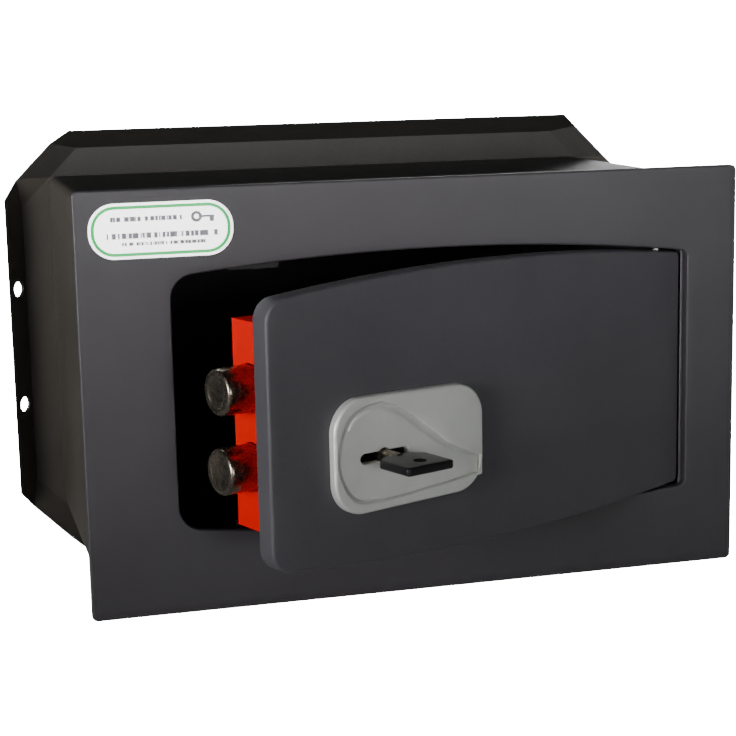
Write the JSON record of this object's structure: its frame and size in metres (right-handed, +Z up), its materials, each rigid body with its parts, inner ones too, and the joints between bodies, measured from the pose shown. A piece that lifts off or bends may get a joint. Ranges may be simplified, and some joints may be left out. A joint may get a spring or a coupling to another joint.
{
  "type": "wall safe",
  "caption": "Built-in key-locking wall safe: steel box with front frame, arched hinged door, two round locking bolts and a rear anchoring flange.",
  "frame": {"origin": "centre of the back pan's rear face, which bears on the wall's masonry", "axes": "+X to the right of a person facing the safe, +Z up, +Y into the wall; the front frame faces -Y"},
  "size_m": [0.379, 0.3191, 0.249],
  "materials": {
    "charcoal_coat": "fine textured powder coat, satin",
    "dark_coat": "fine textured powder coat, matt",
    "zinc_steel": "zinc plated",
    "nickel": "bright nickel plate",
    "red_paint": "gloss paint",
    "satin_zinc": "satin die casting",
    "lever_brass": "stamped, satin",
    "bronze": "sintered, satin",
    "black_plastic": "satin moulding",
    "label_film": "printed film, satin"
  },
  "bodies": {
    "safe_body": {"front_frame": "charcoal_coat", "body_shell": "dark_coat", "back_pan": "dark_coat", "strike_post": "dark_coat", "hinge_strip": "charcoal_coat", "hinge_bracket_upper": "zinc_steel", "hinge_bracket_lower": "zinc_steel", "hinge_bush_upper": "bronze", "hinge_bush_lower": "bronze", "hinge_pin_upper": "zinc_steel", "hinge_pin_lower": "zinc_steel", "door_stop_upper": "dark_coat", "door_stop_lower": "dark_coat", "front_label": "label_film"},
    "door": {"door_plate": "charcoal_coat", "hinge_side_bar": "zinc_steel", "anti_drill_plate": "zinc_steel", "lock_case": "red_paint", "case_stud_1": "zinc_steel", "case_stud_2": "zinc_steel", "case_stud_3": "zinc_steel", "case_stud_4": "zinc_steel", "case_nut_1": "zinc_steel", "case_nut_2": "zinc_steel", "case_nut_3": "zinc_steel", "case_nut_4": "zinc_steel", "bolt_guide": "zinc_steel", "lock_housing": "zinc_steel", "lever_1": "lever_brass", "lever_2": "lever_brass", "lever_3": "lever_brass", "lever_4": "lever_brass", "lever_5": "lever_brass", "lever_post": "zinc_steel", "lever_spring_1": "zinc_steel", "lever_spring_2": "zinc_steel", "lever_spring_3": "zinc_steel", "lever_spring_4": "zinc_steel", "lever_spring_5": "zinc_steel", "lock_cover": "zinc_steel", "lock_screw_1": "zinc_steel", "lock_screw_2": "zinc_steel", "lock_screw_3": "zinc_steel", "lock_screw_4": "zinc_steel", "carriage_guide_left": "zinc_steel", "carriage_guide_right": "zinc_steel", "escutcheon": "satin_zinc", "escutcheon_inlay": "satin_zinc"},
    "bolt_works": {"bolt_upper": "nickel", "bolt_lower": "nickel", "bolt_carriage": "zinc_steel", "bolt_screw_upper": "zinc_steel", "bolt_screw_lower": "zinc_steel"},
    "key_drive": {"drive_disc": "lever_brass", "crank_arm": "zinc_steel", "crank_pin": "zinc_steel"},
    "key": {"key_shaft": "nickel", "key_bow": "black_plastic"}
  },
  "joints": [
    {"name": "door_swing", "type": "hinge", "parent": "safe_body", "child": "door", "pos_m": [0.1285, -0.2025, 0], "axis": [0, 0, 1], "range_deg": [-22, 70]},
    {"name": "key_turn", "type": "hinge", "parent": "door", "child": "key_drive", "pos_m": [-0.0418, -0.27939, -0.0154], "axis": [0.3746, -0.9272, 0], "range_deg": [0, 360]},
    {"name": "bolt_throw", "type": "slide", "parent": "door", "child": "bolt_works", "axis": [-0.9272, -0.3746, 0], "range_m": [0, 0.016]},
    {"name": "key_withdraw", "type": "slide", "parent": "key_drive", "child": "key", "axis": [0.3746, -0.9272, 0], "range_m": [0, 0.045]}
  ],
  "couplings": [
    {"joint": "key_turn", "follows": "bolt_throw", "rad_per_m": 392.69}
  ]
}
